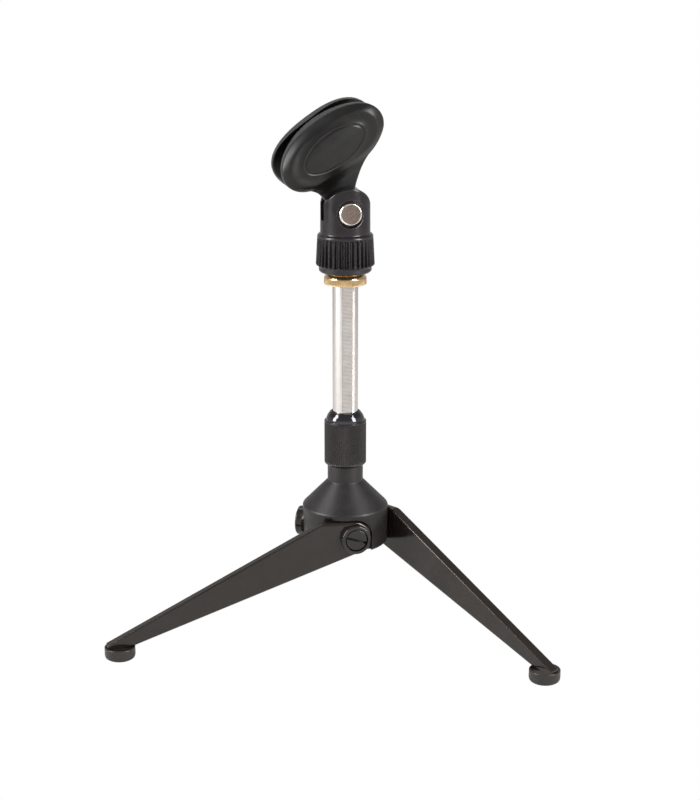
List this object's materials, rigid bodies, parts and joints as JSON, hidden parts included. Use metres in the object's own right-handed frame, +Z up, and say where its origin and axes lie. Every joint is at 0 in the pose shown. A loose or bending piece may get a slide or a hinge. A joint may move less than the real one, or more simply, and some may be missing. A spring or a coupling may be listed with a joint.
{
  "type": "desktop microphone stand",
  "caption": "Folding tripod desktop microphone stand with a collar-clamped sliding chrome mast and a tilting black mic clip.",
  "frame": {"origin": "on the floor plane under the mast axis, with the legs open", "axes": "+Z up along the mast; -X along the leg named left; the clip's cross pin runs along Y with its head towards -Y, and the microphone's axis rises towards +X"},
  "size_m": [0.199, 0.2096, 0.2537],
  "materials": {
    "black_casting": "satin",
    "black_leg_paint": "gloss",
    "black_screw": "gloss",
    "black_collar": "black anodised",
    "chrome_rod": "polished",
    "spring_steel": "satin",
    "brass": "polished",
    "nickel": "satin",
    "black_moulding": "semi-gloss",
    "black_soft_moulding": "satin",
    "black_nylon": "matte",
    "white_nylon": "matte",
    "black_rubber": "matte"
  },
  "bodies": {
    "base": {"hub_body": "black_casting", "rod_guide_bush": "black_nylon", "lock_collet": "white_nylon", "leg_pivot_screw_left": "black_screw", "leg_pivot_screw_right": "black_screw", "leg_pivot_screw_rear": "black_screw", "leg_washer_left": "white_nylon", "leg_washer_right": "white_nylon", "leg_washer_rear": "white_nylon"},
    "leg_left": {"leg_left": "black_leg_paint", "rubber_foot_left": "black_rubber"},
    "leg_right": {"leg_right": "black_leg_paint", "rubber_foot_right": "black_rubber"},
    "leg_rear": {"leg_rear": "black_leg_paint", "rubber_foot_rear": "black_rubber"},
    "collar": {"lock_collar": "black_collar"},
    "mast": {"mast_rod": "chrome_rod", "rod_stop_ring": "spring_steel", "thread_adapter": "brass"},
    "clip_base": {"clip_yoke": "black_moulding", "clip_thread_insert": "brass", "clip_pin_screw": "nickel", "clip_pin_nut": "nickel"},
    "clip_head": {"mic_holder": "black_soft_moulding"}
  },
  "joints": [
    {"name": "fold_leg_left", "type": "hinge", "parent": "base", "child": "leg_left", "pos_m": [0, -0.018, 0.0505], "axis": [0, -1, 0], "range_deg": [0, 67]},
    {"name": "fold_leg_right", "type": "hinge", "parent": "base", "child": "leg_right", "pos_m": [0.01559, 0.009, 0.0505], "axis": [0.866, 0.5, 0], "range_deg": [0, 67]},
    {"name": "fold_leg_rear", "type": "hinge", "parent": "base", "child": "leg_rear", "pos_m": [-0.01559, 0.009, 0.0505], "axis": [-0.866, 0.5, 0], "range_deg": [0, 67]},
    {"name": "collar_turn", "type": "hinge", "parent": "base", "child": "collar", "pos_m": [0, 0, 0.095], "axis": [0, 0, 1], "range_deg": [0, 360]},
    {"name": "mast_slide", "type": "slide", "parent": "base", "child": "mast", "axis": [0, 0, 1], "range_m": [-0.04, 0]},
    {"name": "clip_swivel", "type": "hinge", "parent": "mast", "child": "clip_base", "pos_m": [0, 0, 0.183], "axis": [0, 0, 1], "range_deg": [-180, 180]},
    {"name": "clip_tilt", "type": "hinge", "parent": "clip_base", "child": "clip_head", "pos_m": [0, 0, 0.2034], "axis": [0, -1, 0], "range_deg": [-80, 40]}
  ]
}
